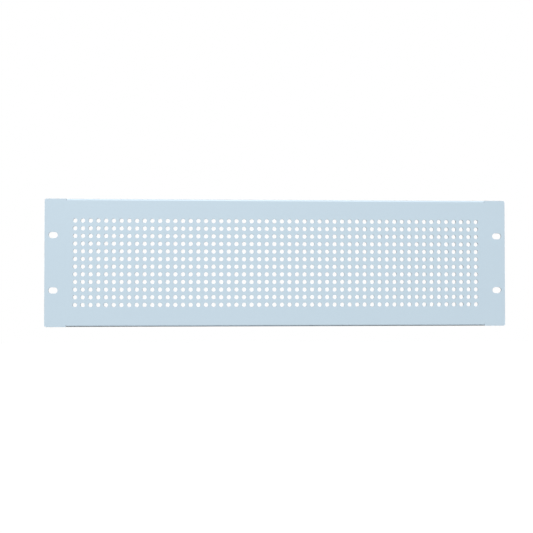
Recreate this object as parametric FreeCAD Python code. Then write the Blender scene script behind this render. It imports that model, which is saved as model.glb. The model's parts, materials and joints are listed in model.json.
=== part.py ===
import FreeCAD, Part
import math
import os

# Rack blanking panel, three units high: one sheet of steel, perforated, with its top and
# bottom edges folded back between two flat ears that carry the fixing slots.
#
# Frame: X runs along the width, Y runs from the front towards the rack and Z is up.
# The origin is the middle of the four slots, on the back face of the ears, which is the
# plane that seats on the rack's rails. All sizes are in millimetres.

# Outline of the face
PANEL_WIDTH = 482.6
PANEL_HEIGHT = 132.55
SHEET = 1.5
EAR_WIDTH = 22.0
EAR_CORNER_RADIUS = 2.0

# Folded edges
FLANGE_DEPTH = 15.9
FOLD_INNER_RADIUS = 0.2
FLANGE_CORNER_RADIUS = 1.5

# Slit at each end of a fold, which lets the sheet bend free of the ear
RELIEF_WIDTH = 0.3
RELIEF_RUN = 0.3

# Fixing slots, which lie along X
SLOT_LENGTH = 9.5
SLOT_HEIGHT = 6.35
SLOT_EDGE_DISTANCE = 8.75
SLOT_SPACING_Z = 57.15

# Vent holes, on a square grid that is centred on the face
HOLE_DIAMETER = 4.45
HOLE_PITCH = 7.93
HOLE_END_MARGIN = 8.0
HOLE_FOLD_MARGIN = 19.5

# How far the cutting tools run past both faces of the sheet
CUTTER_OVERRUN = 1.0

# Places that follow from the sizes above
FRONT = -SHEET
HALF_WIDTH = PANEL_WIDTH / 2
HALF_HEIGHT = PANEL_HEIGHT / 2
EAR_INNER_X = HALF_WIDTH - EAR_WIDTH
FLANGE_END_X = EAR_INNER_X - RELIEF_WIDTH
FOLD_OUTER_RADIUS = FOLD_INNER_RADIUS + SHEET
FOLD_LINE_Z = HALF_HEIGHT - FOLD_OUTER_RADIUS
RELIEF_FLOOR_Z = FOLD_LINE_Z - RELIEF_RUN
FLANGE_OPEN_Y = FRONT + FLANGE_DEPTH
SLOT_X = HALF_WIDTH - SLOT_EDGE_DISTANCE
SLOT_Z = SLOT_SPACING_Z / 2


def on_front(x, z):
    """A point on the front face."""
    return FreeCAD.Vector(x, FRONT, z)


def lines(points):
    """Straight edges from each point to the next."""
    return [Part.makeLine(start, end) for start, end in zip(points, points[1:])]


def arc(centre, radius, start_degrees, turn_degrees):
    """An arc on the front face, from an angle that is measured from +X towards +Z."""
    start, middle, end = [
        on_front(centre[0] + radius * math.cos(angle), centre[1] + radius * math.sin(angle))
        for angle in (math.radians(start_degrees + turn_degrees * share) for share in (0, 0.5, 1))
    ]
    return Part.Arc(start, middle, end).toShape()


def face_outline():
    """The flat sheet's outline: two full-height ears, and between them the fold lines."""
    corner_x = HALF_WIDTH - EAR_CORNER_RADIUS
    corner_z = HALF_HEIGHT - EAR_CORNER_RADIUS
    right_edge = lines([on_front(HALF_WIDTH, -corner_z), on_front(HALF_WIDTH, corner_z)])
    left_edge = lines([on_front(-HALF_WIDTH, corner_z), on_front(-HALF_WIDTH, -corner_z)])
    top_edge = [
        (corner_x, HALF_HEIGHT),
        (EAR_INNER_X, HALF_HEIGHT),
        (EAR_INNER_X, RELIEF_FLOOR_Z),
        (FLANGE_END_X, RELIEF_FLOOR_Z),
        (FLANGE_END_X, FOLD_LINE_Z),
    ]
    top_edge += [(-x, z) for x, z in reversed(top_edge)]
    bottom_edge = [(x, -z) for x, z in reversed(top_edge)]
    edges = list(right_edge)
    edges.append(arc((corner_x, corner_z), EAR_CORNER_RADIUS, 0, 90))
    edges += lines([on_front(x, z) for x, z in top_edge])
    edges.append(arc((-corner_x, corner_z), EAR_CORNER_RADIUS, 90, 90))
    edges += left_edge
    edges.append(arc((-corner_x, -corner_z), EAR_CORNER_RADIUS, 180, 90))
    edges += lines([on_front(x, z) for x, z in bottom_edge])
    edges.append(arc((corner_x, -corner_z), EAR_CORNER_RADIUS, 270, 90))
    return Part.Wire(edges)


def slot_cutter(x, z):
    """A prism with round ends that cuts one slot, centred on (x, z)."""
    radius = SLOT_HEIGHT / 2
    run = (SLOT_LENGTH - SLOT_HEIGHT) / 2
    top = lines([on_front(x + run, z + radius), on_front(x - run, z + radius)])
    bottom = lines([on_front(x - run, z - radius), on_front(x + run, z - radius)])
    left_end = arc((x - run, z), radius, 90, 180)
    right_end = arc((x + run, z), radius, 270, 180)
    outline = Part.Face(Part.Wire(top + [left_end] + bottom + [right_end]))
    outline.translate(FreeCAD.Vector(0, -CUTTER_OVERRUN, 0))
    return outline.extrude(FreeCAD.Vector(0, SHEET + 2 * CUTTER_OVERRUN, 0))


def hole_cutter(x, z):
    """A pin that cuts one vent hole, centred on (x, z)."""
    start = FreeCAD.Vector(x, FRONT - CUTTER_OVERRUN, z)
    length = SHEET + 2 * CUTTER_OVERRUN
    return Part.makeCylinder(HOLE_DIAMETER / 2, length, start, FreeCAD.Vector(0, 1, 0))


def centred_places(room, pitch):
    """As many places as fit in the room, one pitch apart, centred on zero."""
    count = math.floor(room / pitch) + 1
    return [(index - (count - 1) / 2) * pitch for index in range(count)]


def all_cutters():
    """The four slots and the grid of vent holes."""
    columns = centred_places(2 * (FLANGE_END_X - HOLE_END_MARGIN), HOLE_PITCH)
    rows = centred_places(2 * (FOLD_LINE_Z - HOLE_FOLD_MARGIN), HOLE_PITCH)
    slots = [slot_cutter(x, z) for x in (-SLOT_X, SLOT_X) for z in (-SLOT_Z, SLOT_Z)]
    holes = [hole_cutter(x, z) for x in columns for z in rows]
    return Part.Compound(slots + holes)


def fold_arc(radius):
    """The bend's arc of that radius, in the section at one end of the flange."""
    diagonal = radius * math.sqrt(0.5)
    return Part.Arc(
        FreeCAD.Vector(-FLANGE_END_X, FOLD_INNER_RADIUS - radius, FOLD_LINE_Z),
        FreeCAD.Vector(-FLANGE_END_X, FOLD_INNER_RADIUS - diagonal, FOLD_LINE_Z + diagonal),
        FreeCAD.Vector(-FLANGE_END_X, FOLD_INNER_RADIUS, FOLD_LINE_Z + radius),
    ).toShape()


def top_flange():
    """The bend along the top edge and the flange that it carries, with rounded free corners."""
    outer = fold_arc(FOLD_OUTER_RADIUS)
    inner = fold_arc(FOLD_INNER_RADIUS)
    under_z = HALF_HEIGHT - SHEET
    flat = lines([
        FreeCAD.Vector(-FLANGE_END_X, FOLD_INNER_RADIUS, HALF_HEIGHT),
        FreeCAD.Vector(-FLANGE_END_X, FLANGE_OPEN_Y, HALF_HEIGHT),
        FreeCAD.Vector(-FLANGE_END_X, FLANGE_OPEN_Y, under_z),
        FreeCAD.Vector(-FLANGE_END_X, FOLD_INNER_RADIUS, under_z),
    ])
    root = lines([
        FreeCAD.Vector(-FLANGE_END_X, 0, FOLD_LINE_Z),
        FreeCAD.Vector(-FLANGE_END_X, FRONT, FOLD_LINE_Z),
    ])
    section = Part.Face(Part.Wire(Part.sortEdges([outer] + flat + [inner] + root)[0]))
    flange = section.extrude(FreeCAD.Vector(2 * FLANGE_END_X, 0, 0))
    free_corners = [
        edge
        for edge in flange.Edges
        if all(abs(vertex.Y - FLANGE_OPEN_Y) < 1e-6 for vertex in edge.Vertexes)
        and abs(edge.Vertexes[0].X - edge.Vertexes[1].X) < 1e-6
    ]
    return flange.makeFillet(FLANGE_CORNER_RADIUS, free_corners)


def panel():
    """The whole panel: the face and its two flanges as one folded sheet, then pierced."""
    face = Part.Face(face_outline()).extrude(FreeCAD.Vector(0, SHEET, 0))
    top = top_flange()
    bottom = top.mirror(FreeCAD.Vector(0, 0, 0), FreeCAD.Vector(0, 0, 1))
    folded = face.fuse([top, bottom]).removeSplitter()
    return folded.cut(all_cutters()).Solids


os.makedirs("parts", exist_ok=True)
solids = panel()
Part.Compound(solids).exportStep("parts/panel.step")
for solid in solids:
    state = "valid" if solid.isValid() else "not valid"
    print(f"panel: {state}, {len(solid.Faces)} faces, {solid.Volume:.1f} cubic mm")
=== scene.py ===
import json
import math

import bmesh
import bpy
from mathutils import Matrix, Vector


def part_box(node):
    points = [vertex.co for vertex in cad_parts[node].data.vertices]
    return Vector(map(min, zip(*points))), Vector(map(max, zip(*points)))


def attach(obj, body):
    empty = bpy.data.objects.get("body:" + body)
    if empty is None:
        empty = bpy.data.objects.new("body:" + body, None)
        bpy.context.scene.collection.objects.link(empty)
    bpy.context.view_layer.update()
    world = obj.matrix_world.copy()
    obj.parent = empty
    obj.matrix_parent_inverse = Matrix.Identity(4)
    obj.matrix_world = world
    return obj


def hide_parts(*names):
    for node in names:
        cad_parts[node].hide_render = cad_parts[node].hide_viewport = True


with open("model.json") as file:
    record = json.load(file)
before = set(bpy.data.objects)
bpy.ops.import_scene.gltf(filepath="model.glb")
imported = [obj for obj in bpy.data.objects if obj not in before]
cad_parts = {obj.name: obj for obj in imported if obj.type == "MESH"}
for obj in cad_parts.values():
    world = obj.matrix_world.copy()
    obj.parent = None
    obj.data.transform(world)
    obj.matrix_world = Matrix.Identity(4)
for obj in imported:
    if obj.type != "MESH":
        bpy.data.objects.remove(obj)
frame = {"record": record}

# Rack blanking panel: one sheet of steel, perforated, folded back along its top and bottom
# edges, and powder coated. Everything is in metres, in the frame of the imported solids: X runs
# along the panel, Y from its front towards the rack, and Z is up.

LOW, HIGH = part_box("panel")
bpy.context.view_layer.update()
RAIL_SLOTS = next(mount for mount in frame["record"]["mounts"] if mount["name"] == "rail_slots")

MM = 0.001
X_AXIS, Y_AXIS, Z_AXIS = 0, 1, 2

# Places closer than this are one place
SNAP = 1e-6

# The sheet
FRONT_Y = LOW.y
SHEET = 1.5 * MM
HALF_WIDTH = HIGH.x
HALF_HEIGHT = HIGH.z
EAR_WIDTH = 22.0 * MM
EAR_CORNER = 2.0 * MM
FOLD_RADIUS = 1.7 * MM
FLANGE_CORNER = 1.5 * MM
FLANGE_OPEN_Y = HIGH.y
RELIEF_WIDTH = 0.3 * MM
RELIEF_RUN = 0.3 * MM

# How far the coat rounds the cut edges, and the angle past which an edge is sharp
COATED_EDGE = 0.07 * MM
SHARP_ANGLE = math.radians(50)

# Vent holes, on a square grid about the middle of the face
HOLE_RADIUS = 2.225 * MM
HOLE_PITCH = 7.93 * MM
HOLE_COLUMNS = 54
HOLE_ROWS = 12

# Fixing slots, one in each quarter of the panel
SLOT_RADIUS = RAIL_SLOTS["dims"]["hole_r_mm"] * MM
SLOT_HALF_RUN = RAIL_SLOTS["dims"]["slot_length_mm"] * MM / 2 - SLOT_RADIUS
SLOT_X = RAIL_SLOTS["dims"]["spacing_x_mm"] * MM / 2
SLOT_Z = RAIL_SLOTS["dims"]["spacing_y_mm"] * MM / 2

# Places that follow from the sizes above
EAR_INNER_X = HALF_WIDTH - EAR_WIDTH
FLANGE_END_X = EAR_INNER_X - RELIEF_WIDTH
FOLD_LINE_Z = HALF_HEIGHT - FOLD_RADIUS
RELIEF_FLOOR_Z = FOLD_LINE_Z - RELIEF_RUN
FOLD_AXIS_Y = FRONT_Y + FOLD_RADIUS
FIELD_X = HOLE_PITCH * HOLE_COLUMNS / 2
FIELD_Z = HOLE_PITCH * HOLE_ROWS / 2

# How far the sheet about a slot reaches from the slot's middle
SLOT_REACH_X = HALF_WIDTH - SLOT_X
SLOT_REACH_Z = SLOT_REACH_X - SLOT_HALF_RUN

# How finely round shapes are divided
RING_SIDES = 24
FOLD_STEPS = 6
CORNER_STEPS = 4

# Powder coat. Its cut edges, the holes' walls among them, are darker: partly a thinner coat, partly
# painted shade for the shade that falls in the holes
COAT_COLOUR = (0.577, 0.703, 0.797)
THIN_COAT_AND_PAINTED_SHADE_COLOUR = (0.46, 0.56, 0.63)
COAT_SPECULAR = 0.35
SMOOTHEST = 0.36
ROUGHEST = 0.46

# The coat's orange peel, its fine grain and the slow drift in its shade
PEEL_SIZE = 1.1 * MM
PEEL_DETAIL = 2.0
PEEL_DEPTH = 0.02 * MM
PEEL_STRENGTH = 0.7
GRAIN_SIZE = 0.4 * MM
GRAIN_DETAIL = 1.0
GRAIN_SHARE = 0.03
DRIFT_SIZE = 70.0 * MM
DRIFT_DETAIL = 3.0
DRIFT_SHARE = 0.014

# Floor, well below the panel
FLOOR_DROP = 0.6
FLOOR_SIZE = 12.0
FLOOR_DIM_GREY = (0.055, 0.055, 0.055)
FLOOR_PALE_GREY = (0.25, 0.25, 0.25)
FLOOR_GLOW = 0.80

# Light and camera
AMBIENT = 0.05
FILL_PLACE = Vector((-0.42, -1.3, 0.6))
CAMERA_PLACE = Vector((-0.0511, -0.77425, -0.0166))
CAMERA_TARGET = Vector((-0.01222, -0.00075, -0.00371))
LENS_MM = 50.0
SENSOR_MM = 36.0


# ---------------------------------------------------------------- modelling steps

def near(value, place):
    """Whether two places on one axis are the same."""
    return abs(value - place) < SNAP


def on_plane(axis, place):
    """A test for vertices that lie on the plane where that axis has that value."""
    return lambda vertex: near(vertex.co[axis], place)


def between_diagonals(axis, direction):
    """A test for vertices in the quarter between the diagonals that lies that way."""
    def test(vertex):
        return near(direction * vertex.co[axis], max(abs(vertex.co.x), abs(vertex.co.z)))

    return test


def along(axis, distance):
    """A step of that length along one axis."""
    step = [0.0, 0.0, 0.0]
    step[axis] = distance
    return step


def pick_open_edges(piece, vertex_test):
    """In edit mode, selects the edges that lack a face and whose ends both pass the test."""
    bpy.ops.mesh.select_mode(type="EDGE")
    bpy.ops.mesh.select_all(action="DESELECT")
    mesh = bmesh.from_edit_mesh(piece.data)
    for edge in mesh.edges:
        is_open = len(edge.link_faces) < 2
        edge.select_set(is_open and all(vertex_test(end) for end in edge.verts))
    bmesh.update_edit_mesh(piece.data)


def pick_corners(piece, vertex_test):
    """In edit mode, selects the vertices that pass the test, and nothing else."""
    bpy.ops.mesh.select_mode(type="VERT")
    bpy.ops.mesh.select_all(action="DESELECT")
    mesh = bmesh.from_edit_mesh(piece.data)
    for vertex in mesh.verts:
        vertex.select_set(vertex_test(vertex))
    bmesh.update_edit_mesh(piece.data)


def draw_out(piece, axis, start, end):
    """Extrudes the open edges that lie on one plane straight to another plane."""
    pick_open_edges(piece, on_plane(axis, start))
    bpy.ops.mesh.extrude_region_move(TRANSFORM_OT_translate={"value": along(axis, end - start)})


def round_corner(piece, place, radius):
    """Rounds the corner of the sheet's outline that lies at that place."""
    pick_corners(piece, lambda vertex: (vertex.co - place).length < SNAP)
    bpy.ops.mesh.bevel(affect="VERTICES", offset=radius, segments=CORNER_STEPS, profile=0.5)


def apply_modifiers(piece):
    """Leaves edit mode and applies the piece's modifiers in their order."""
    bpy.ops.object.mode_set(mode="OBJECT")
    for modifier in list(piece.modifiers):
        bpy.ops.object.modifier_apply(modifier=modifier.name)


def only(piece):
    """Makes one piece the active and only selected one."""
    bpy.ops.object.select_all(action="DESELECT")
    piece.select_set(True)
    bpy.context.view_layer.objects.active = piece


def square_with_hole(name, place, radius, side):
    """A square of sheet about a round hole, in four faces that meet along the diagonals.
    The ring's corners lie just outside the circle, so that it is as open as the circle. Four
    of them are drawn out to the square's corners, and each quarter between them is filled."""
    step_angle = 2 * math.pi / RING_SIDES
    ring_radius = radius * math.sqrt(step_angle / math.sin(step_angle))
    growth = side / math.sqrt(2) / ring_radius
    bpy.ops.object.select_all(action="DESELECT")
    bpy.ops.mesh.primitive_circle_add(
        vertices=RING_SIDES, radius=ring_radius, location=place, rotation=(math.pi / 2, 0, 0)
    )
    piece = bpy.context.active_object
    piece.name = name
    bpy.ops.object.transform_apply(location=False, rotation=True, scale=True)
    bpy.ops.object.mode_set(mode="EDIT")
    pick_corners(piece, lambda vertex: near(abs(vertex.co.x), abs(vertex.co.z)))
    bpy.ops.mesh.extrude_vertices_move()
    bpy.ops.transform.resize(value=(growth, growth, growth), center_override=place)
    for axis in (X_AXIS, Z_AXIS):
        for direction in (1, -1):
            pick_open_edges(piece, between_diagonals(axis, direction))
            bpy.ops.mesh.edge_face_add()
    bpy.ops.object.mode_set(mode="OBJECT")
    return piece


def repeat(piece, axis, count, step):
    """Adds an array along one axis, whose neighbours share their corners."""
    array = piece.modifiers.new("repeat", "ARRAY")
    array.count = count
    array.use_relative_offset = False
    array.use_constant_offset = True
    array.constant_offset_displace = along(axis, step)
    array.use_merge_vertices = True
    array.merge_threshold = SNAP


def vented_quarter():
    """The upper right quarter of the face between the ears, with its fold and its flange."""
    place = (HOLE_PITCH / 2, FRONT_Y, HOLE_PITCH / 2)
    piece = square_with_hole("panel_sheet", place, HOLE_RADIUS, HOLE_PITCH)
    bpy.ops.object.transform_apply(location=True, rotation=False, scale=False)
    repeat(piece, X_AXIS, HOLE_COLUMNS // 2, HOLE_PITCH)
    repeat(piece, Z_AXIS, HOLE_ROWS // 2, HOLE_PITCH)
    apply_modifiers(piece)
    bpy.ops.object.mode_set(mode="EDIT")
    draw_out(piece, Z_AXIS, FIELD_Z, RELIEF_FLOOR_Z)
    draw_out(piece, Z_AXIS, RELIEF_FLOOR_Z, FOLD_LINE_Z)
    draw_out(piece, X_AXIS, FIELD_X, FLANGE_END_X)
    pick_open_edges(piece, on_plane(Z_AXIS, FOLD_LINE_Z))
    bpy.ops.mesh.spin(
        steps=FOLD_STEPS,
        angle=math.pi / 2,
        center=(0, FOLD_AXIS_Y, FOLD_LINE_Z),
        axis=(1, 0, 0),
    )
    draw_out(piece, Y_AXIS, FOLD_AXIS_Y, FLANGE_OPEN_Y)
    round_corner(piece, Vector((FLANGE_END_X, FLANGE_OPEN_Y, HALF_HEIGHT)), FLANGE_CORNER)
    bpy.ops.object.mode_set(mode="OBJECT")
    return piece


def ear_quarter():
    """The upper half of the right ear, with its slot."""
    place = (SLOT_X, FRONT_Y, SLOT_Z)
    piece = square_with_hole("ear", place, SLOT_RADIUS, 2 * SLOT_REACH_Z)
    bpy.ops.object.mode_set(mode="EDIT")
    bpy.ops.mesh.select_all(action="SELECT")
    bpy.ops.mesh.bisect(plane_co=place, plane_no=(1, 0, 0), clear_inner=True, threshold=SNAP)
    bpy.ops.mesh.select_all(action="SELECT")
    bpy.ops.transform.translate(value=(SLOT_HALF_RUN, 0, 0))
    draw_out(piece, X_AXIS, SLOT_HALF_RUN, 0)
    mirror = piece.modifiers.new("other half", "MIRROR")
    mirror.use_axis = (True, False, False)
    mirror.merge_threshold = SNAP
    apply_modifiers(piece)
    bpy.ops.object.transform_apply(location=True, rotation=False, scale=False)
    bpy.ops.object.mode_set(mode="EDIT")
    draw_out(piece, Z_AXIS, SLOT_Z + SLOT_REACH_Z, RELIEF_FLOOR_Z)
    draw_out(piece, Z_AXIS, RELIEF_FLOOR_Z, HALF_HEIGHT)
    draw_out(piece, Z_AXIS, SLOT_Z - SLOT_REACH_Z, 0)
    draw_out(piece, X_AXIS, SLOT_X - SLOT_REACH_X, EAR_INNER_X)
    round_corner(piece, Vector((HALF_WIDTH, FRONT_Y, HALF_HEIGHT)), EAR_CORNER)
    bpy.ops.object.mode_set(mode="OBJECT")
    return piece


def join_ear(piece, ear):
    """Joins the ear to the face below the relief slit."""
    only(piece)
    ear.select_set(True)
    bpy.ops.object.join()
    bpy.ops.object.mode_set(mode="EDIT")

    def beside_slit(vertex):
        beside = near(vertex.co.x, FLANGE_END_X) or near(vertex.co.x, EAR_INNER_X)
        return beside and vertex.co.z < RELIEF_FLOOR_Z + SNAP

    pick_open_edges(piece, beside_slit)
    bpy.ops.mesh.bridge_edge_loops()
    bpy.ops.object.mode_set(mode="OBJECT")


def complete_outer_skin(piece):
    """Mirrors the quarter into the whole outer skin, facing the front."""
    mirror = piece.modifiers.new("other quarters", "MIRROR")
    mirror.use_axis = (True, False, True)
    mirror.merge_threshold = SNAP
    apply_modifiers(piece)
    bpy.ops.object.mode_set(mode="EDIT")
    bpy.ops.mesh.select_all(action="SELECT")
    bpy.ops.mesh.remove_doubles(threshold=SNAP)
    bpy.ops.mesh.normals_make_consistent(inside=False)
    mesh = bmesh.from_edit_mesh(piece.data)
    if sum(face.normal.y * face.calc_area() for face in mesh.faces) > 0:
        bpy.ops.mesh.flip_normals()
    bpy.ops.object.mode_set(mode="OBJECT")


def give_thickness(piece):
    """Gives the skin the sheet's thickness; its cut edges take the second material, a thinner coat
    darkened with painted shade.
    """
    solidify = piece.modifiers.new("sheet", "SOLIDIFY")
    solidify.thickness = SHEET
    solidify.offset = -1
    solidify.use_even_offset = True
    solidify.material_offset_rim = 1
    apply_modifiers(piece)


def soften_edges(piece):
    """Softens the sheet's edges as a coat does. Punching leaves the vent holes' back rims crisp."""
    def on_back_rim(vertex):
        in_field = abs(vertex.co.x) < FIELD_X and abs(vertex.co.z) < FIELD_Z
        return in_field and near(vertex.co.y, FRONT_Y + SHEET)

    bpy.ops.object.mode_set(mode="EDIT")
    bpy.ops.mesh.select_all(action="SELECT")
    bpy.ops.mesh.normals_make_consistent(inside=False)
    bpy.ops.mesh.select_mode(type="EDGE")
    bpy.ops.mesh.select_all(action="DESELECT")
    bpy.ops.mesh.edges_select_sharp(sharpness=SHARP_ANGLE)
    mesh = bmesh.from_edit_mesh(piece.data)
    for edge in mesh.edges:
        if edge.select and all(on_back_rim(vertex) for vertex in edge.verts):
            edge.select_set(False)
    bmesh.update_edit_mesh(piece.data)
    bpy.ops.mesh.bevel(affect="EDGES", offset=COATED_EDGE, segments=1, clamp_overlap=False)
    bpy.ops.object.mode_set(mode="OBJECT")


def smooth_bends(piece):
    """Shades the bends and the holes' walls smooth, while flat faces stay flat."""
    only(piece)
    bpy.ops.object.shade_smooth_by_angle(angle=SHARP_ANGLE)
    weighted = piece.modifiers.new("flat faces stay flat", "WEIGHTED_NORMAL")
    weighted.mode = "FACE_AREA"
    weighted.keep_sharp = True
    apply_modifiers(piece)


def panel_sheet(face_coat, edge_coat_and_painted_shade):
    """The whole folded sheet, with one finish on its faces and, on its cut edges, a thinner coat
    darkened with painted shade.
    """
    piece = vented_quarter()
    ear = ear_quarter()
    join_ear(piece, ear)
    complete_outer_skin(piece)
    piece.data.materials.append(face_coat)
    piece.data.materials.append(edge_coat_and_painted_shade)
    give_thickness(piece)
    soften_edges(piece)
    smooth_bends(piece)
    return piece


# ---------------------------------------------------------------- materials

def new_material(name):
    """A new material, with its nodes, its links and its main shader."""
    material = bpy.data.materials.new(name)
    material.use_nodes = True
    nodes = material.node_tree.nodes
    return material, nodes, material.node_tree.links, nodes["Principled BSDF"]


def powder_texture():
    """The coat's surface: a shade that wanders a little, fine grains and orange peel."""
    group = bpy.data.node_groups.new("powder_texture", "ShaderNodeTree")
    for name, direction, kind in (
        ("Colour", "INPUT", "NodeSocketColor"),
        ("Smoothest", "INPUT", "NodeSocketFloat"),
        ("Roughest", "INPUT", "NodeSocketFloat"),
        ("Colour", "OUTPUT", "NodeSocketColor"),
        ("Roughness", "OUTPUT", "NodeSocketFloat"),
        ("Normal", "OUTPUT", "NodeSocketVector"),
    ):
        group.interface.new_socket(name, in_out=direction, socket_type=kind)
    nodes, links = group.nodes, group.links
    given = nodes.new("NodeGroupInput")
    result = nodes.new("NodeGroupOutput")
    place = nodes.new("ShaderNodeTexCoord")

    def noise(size, detail):
        texture = nodes.new("ShaderNodeTexNoise")
        texture.inputs["Scale"].default_value = 1 / size
        texture.inputs["Detail"].default_value = detail
        links.new(place.outputs["Object"], texture.inputs["Vector"])
        return texture.outputs["Fac"]

    def about_one(source, share):
        span = nodes.new("ShaderNodeMapRange")
        span.inputs["To Min"].default_value = 1 - share
        span.inputs["To Max"].default_value = 1 + share
        links.new(source, span.inputs["Value"])
        return span.outputs["Result"]

    peel = noise(PEEL_SIZE, PEEL_DETAIL)
    grain = about_one(noise(GRAIN_SIZE, GRAIN_DETAIL), GRAIN_SHARE)
    drift = about_one(noise(DRIFT_SIZE, DRIFT_DETAIL), DRIFT_SHARE)
    shade = nodes.new("ShaderNodeMath")
    shade.operation = "MULTIPLY"
    links.new(grain, shade.inputs[0])
    links.new(drift, shade.inputs[1])
    tint = nodes.new("ShaderNodeVectorMath")
    tint.operation = "SCALE"
    links.new(given.outputs["Colour"], tint.inputs[0])
    links.new(shade.outputs[0], tint.inputs["Scale"])
    links.new(tint.outputs[0], result.inputs["Colour"])

    gloss = nodes.new("ShaderNodeMapRange")
    links.new(peel, gloss.inputs["Value"])
    links.new(given.outputs["Smoothest"], gloss.inputs["To Min"])
    links.new(given.outputs["Roughest"], gloss.inputs["To Max"])
    links.new(gloss.outputs["Result"], result.inputs["Roughness"])
    bump = nodes.new("ShaderNodeBump")
    bump.inputs["Strength"].default_value = PEEL_STRENGTH
    bump.inputs["Distance"].default_value = PEEL_DEPTH
    links.new(peel, bump.inputs["Height"])
    links.new(bump.outputs["Normal"], result.inputs["Normal"])
    return group


def powder_coat(name, texture, colour):
    """Satin powder coat of one colour."""
    material, nodes, links, shader = new_material(name)
    shader.inputs["Specular IOR Level"].default_value = COAT_SPECULAR
    coat = nodes.new("ShaderNodeGroup")
    coat.node_tree = texture
    coat.inputs["Colour"].default_value = (*colour, 1)
    coat.inputs["Smoothest"].default_value = SMOOTHEST
    coat.inputs["Roughest"].default_value = ROUGHEST
    links.new(coat.outputs["Colour"], shader.inputs["Base Color"])
    links.new(coat.outputs["Roughness"], shader.inputs["Roughness"])
    links.new(coat.outputs["Normal"], shader.inputs["Normal"])
    return material


# ---------------------------------------------------------------- studio

def shown_directly(nodes, links):
    """A socket that is 1 for rays from the camera, seen straight, mirrored or through glass."""
    path = nodes.new("ShaderNodeLightPath")
    shown = path.outputs["Is Camera Ray"]
    for other in ("Is Glossy Ray", "Is Transmission Ray"):
        either = nodes.new("ShaderNodeMath")
        either.operation = "MAXIMUM"
        links.new(shown, either.inputs[0])
        links.new(path.outputs[other], either.inputs[1])
        shown = either.outputs[0]
    return shown


def floor():
    """A pale floor that shows white, with the shadows on it, but throws little light back."""
    bpy.ops.object.select_all(action="DESELECT")
    bpy.ops.mesh.primitive_plane_add(size=FLOOR_SIZE, location=(0, 0, -FLOOR_DROP))
    piece = bpy.context.active_object
    piece.name = "floor"
    material, nodes, links, dim = new_material("floor")
    dim.inputs["Base Color"].default_value = (*FLOOR_DIM_GREY, 1)
    dim.inputs["Roughness"].default_value = 1.0
    dim.inputs["Specular IOR Level"].default_value = 0.0
    pale = nodes.new("ShaderNodeBsdfDiffuse")
    pale.inputs["Color"].default_value = (*FLOOR_PALE_GREY, 1)
    glow = nodes.new("ShaderNodeEmission")
    glow.inputs["Strength"].default_value = FLOOR_GLOW
    shown = nodes.new("ShaderNodeAddShader")
    links.new(pale.outputs[0], shown.inputs[0])
    links.new(glow.outputs[0], shown.inputs[1])
    either = nodes.new("ShaderNodeMixShader")
    links.new(shown_directly(nodes, links), either.inputs["Fac"])
    links.new(dim.outputs[0], either.inputs[1])
    links.new(shown.outputs[0], either.inputs[2])
    links.new(either.outputs[0], nodes["Material Output"].inputs["Surface"])
    piece.data.materials.append(material)


def surroundings():
    """White surroundings that throw only a little light on the panel."""
    world = bpy.data.worlds.new("studio")
    bpy.context.scene.world = world
    world.use_nodes = True
    nodes, links = world.node_tree.nodes, world.node_tree.links
    level = nodes.new("ShaderNodeMapRange")
    level.inputs["To Min"].default_value = AMBIENT
    level.inputs["To Max"].default_value = 1.0
    links.new(shown_directly(nodes, links), level.inputs["Value"])
    links.new(level.outputs["Result"], nodes["Background"].inputs["Strength"])
    nodes["Background"].inputs["Color"].default_value = (1, 1, 1, 1)


def pointed(name, data, place, target):
    """A lamp or a camera that stands at one place and points at another."""
    holder = bpy.data.objects.new(name, data)
    holder.location = place
    holder.rotation_euler = (target - place).to_track_quat("-Z", "Y").to_euler()
    bpy.context.scene.collection.objects.link(holder)
    return holder


def soft_lamp(name, place, target, size, power):
    """A square lamp."""
    lamp = bpy.data.lights.new(name, "AREA")
    lamp.shape = "SQUARE"
    lamp.size = size
    lamp.energy = power
    pointed(name, lamp, place, target)


def soft_sun(name, elevation, azimuth, spread, strength):
    """A distant soft lamp; azimuth is measured from straight in front towards the right."""
    lamp = bpy.data.lights.new(name, "SUN")
    lamp.angle = math.radians(spread)
    lamp.energy = strength
    holder = bpy.data.objects.new(name, lamp)
    holder.rotation_euler = (math.radians(90 - elevation), 0, math.radians(azimuth))
    bpy.context.scene.collection.objects.link(holder)
    return holder


def camera(place, target):
    """The camera that the scene is seen through."""
    data = bpy.data.cameras.new("camera")
    data.lens = LENS_MM
    data.sensor_width = SENSOR_MM
    bpy.context.scene.camera = pointed("camera", data, place, target)


# ---------------------------------------------------------------- the scene

texture = powder_texture()
sheet = panel_sheet(
    powder_coat("satin_powder_coat", texture, COAT_COLOUR),
    # The cut edges' darker colour is partly a thinner coat and partly painted shade in the holes'
    # walls
    powder_coat("thin_coat_and_painted_shade", texture, THIN_COAT_AND_PAINTED_SHADE_COLOUR),
)
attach(sheet, "root")
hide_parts("panel")

floor()
surroundings()
panel_middle = (LOW + HIGH) / 2
soft_sun("key", elevation=43.0, azimuth=2.0, spread=12.0, strength=3.34)
behind = soft_sun("behind", elevation=12.0, azimuth=180.0, spread=4.0, strength=2.85)
# It lights the panel's back, and the walls of the holes don't mirror it
behind.visible_glossy = False
soft_lamp("fill", FILL_PLACE, panel_middle, size=0.6, power=3.25)
camera(CAMERA_PLACE, CAMERA_TARGET)

bpy.context.scene.view_settings.view_transform = "Standard"
